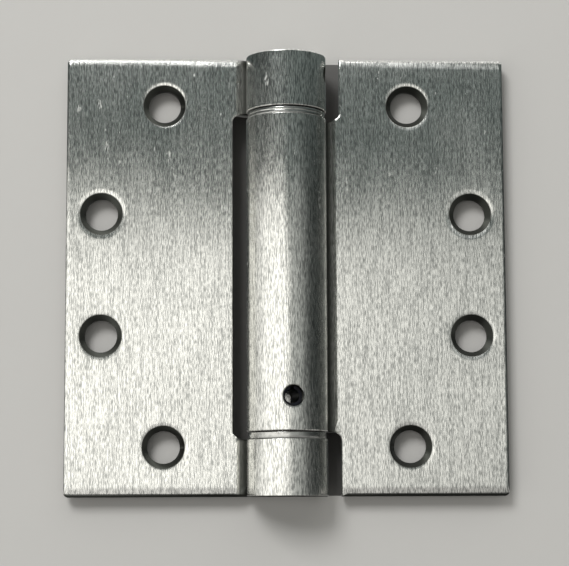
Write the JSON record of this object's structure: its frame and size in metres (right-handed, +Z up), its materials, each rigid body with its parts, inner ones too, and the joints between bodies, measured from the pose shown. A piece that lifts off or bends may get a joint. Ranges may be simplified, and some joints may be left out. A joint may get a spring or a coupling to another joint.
{
  "type": "spring hinge",
  "caption": "Self-closing door hinge with square leaves, countersunk screw holes and a three-knuckle barrel that holds a torsion spring, tensioned by a hub in the top knuckle.",
  "frame": {"origin": "on the turning axis at mid height, the centre of the box around the open hinge", "axes": "+Z up along the turning axis, +X towards the free edge of the door leaf with the hinge open flat, +Y towards the backs of the leaves, which lie in the mortises"},
  "size_m": [0.1142, 0.0208, 0.1142],
  "materials": {
    "satin_chrome": "satin chrome plate over steel, brushed along the barrel",
    "plain_steel": "turned steel, oiled",
    "spring_steel": "dark tempered spring steel",
    "bush_bronze": "sintered bronze",
    "bright_steel": "smooth bright steel"
  },
  "bodies": {
    "jamb_leaf": {"jamb_leaf": "satin_chrome", "bottom_pivot": "plain_steel", "pivot_lock_pin": "plain_steel", "lower_washer": "bright_steel"},
    "door_leaf": {"door_leaf": "satin_chrome", "upper_bush": "bush_bronze", "lower_bush": "bush_bronze", "anchor_plug": "plain_steel", "anchor_pin": "spring_steel", "torsion_spring": "spring_steel", "upper_washer_plain": "bright_steel", "upper_washer_slip": "bright_steel"},
    "adjusting_hub": {"adjusting_hub": "plain_steel", "hub_retaining_ring": "spring_steel"}
  },
  "joints": [
    {"name": "leaf_swing", "type": "hinge", "parent": "jamb_leaf", "child": "door_leaf", "pos_m": [0, 0, 0], "axis": [0, 0, -1], "range_deg": [-140, 180]},
    {"name": "hub_wind", "type": "hinge", "parent": "door_leaf", "child": "adjusting_hub", "pos_m": [0, 0, 0.05], "axis": [0, 0, -1], "range_deg": [0, 180], "stiffness_Nm_per_rad": 0.86, "deforming": ["torsion_spring"]}
  ]
}
